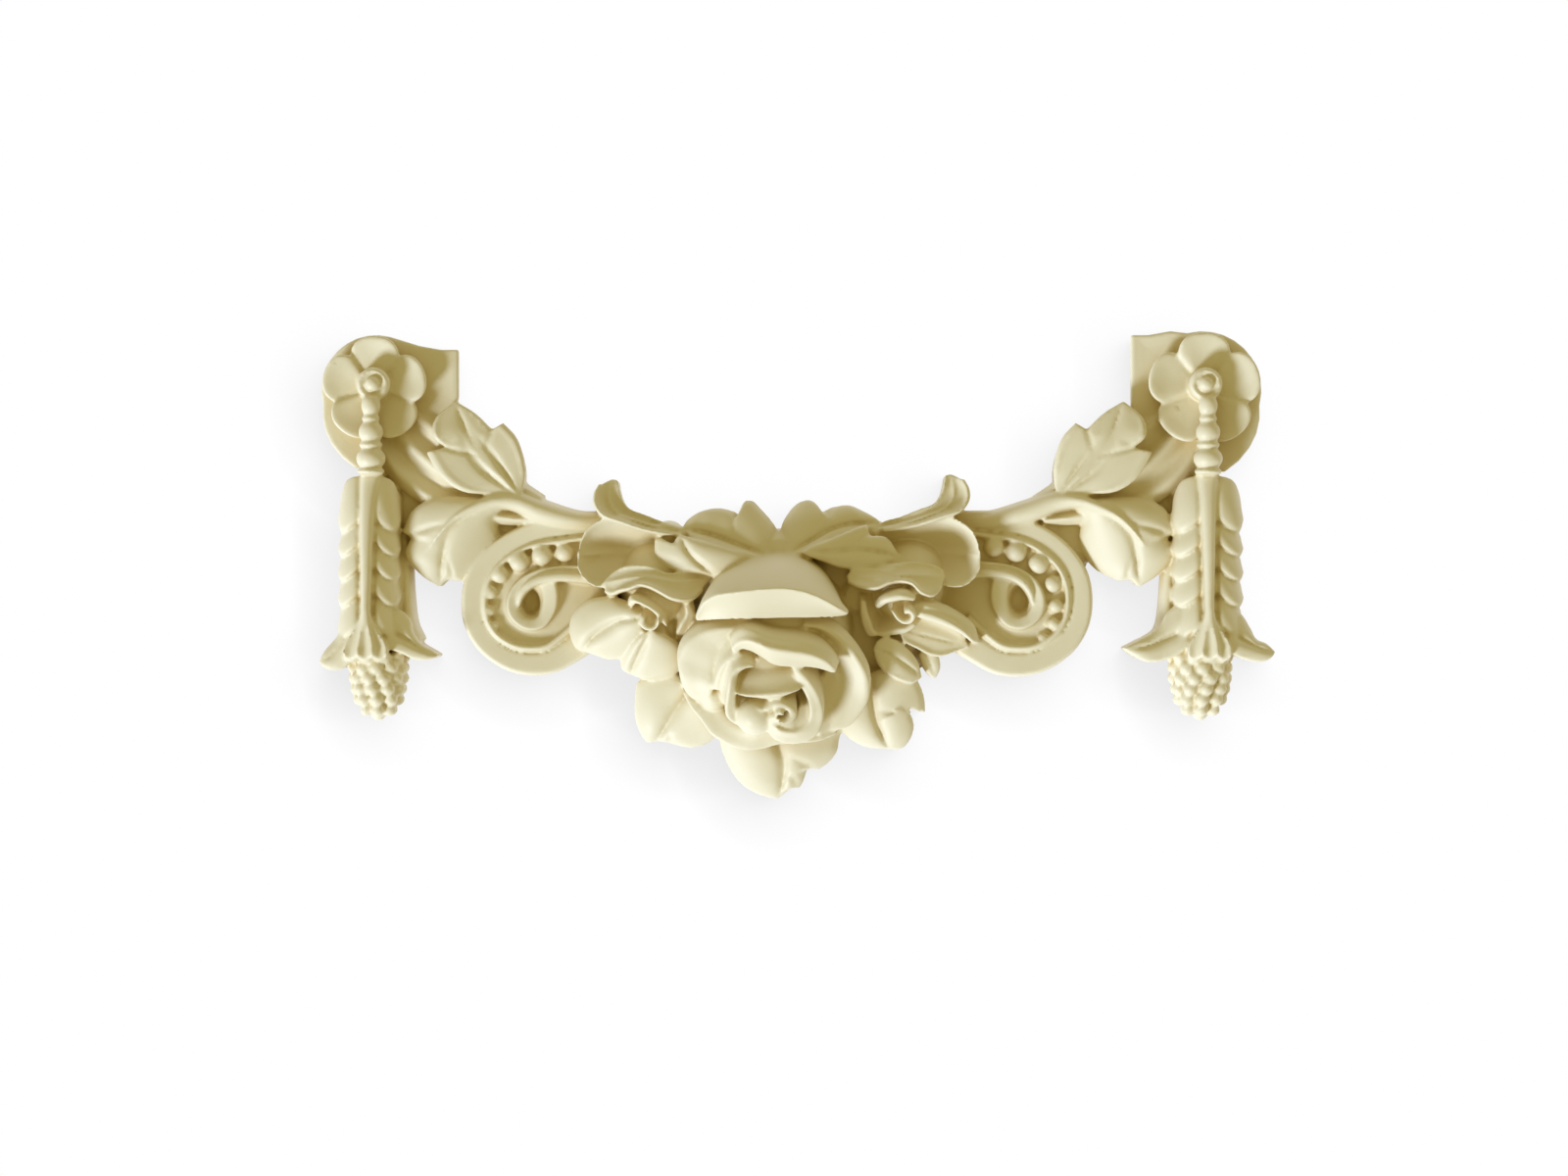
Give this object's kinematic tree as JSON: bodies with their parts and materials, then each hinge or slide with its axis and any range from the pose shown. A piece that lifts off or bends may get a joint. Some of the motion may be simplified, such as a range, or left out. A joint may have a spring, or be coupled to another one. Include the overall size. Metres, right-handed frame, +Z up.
{
  "type": "carved wall festoon",
  "caption": "Cast festoon applique for a wall: a full rose between rosebuds and leaves, beaded scrolls, and flowered ends with hanging leaf drops.",
  "frame": {"origin": "on the flat back face, behind the upper part of the middle rose", "axes": "+X along the wall to the right as seen from the front, +Z up, +Y into the wall, so the carved front faces -Y"},
  "size_m": [0.4829, 0.0703, 0.2381],
  "materials": {
    "cast_ivory": "smooth matt ivory casting"
  },
  "bodies": {
    "root": {"festoon": "cast_ivory"}
  },
  "joints": []
}
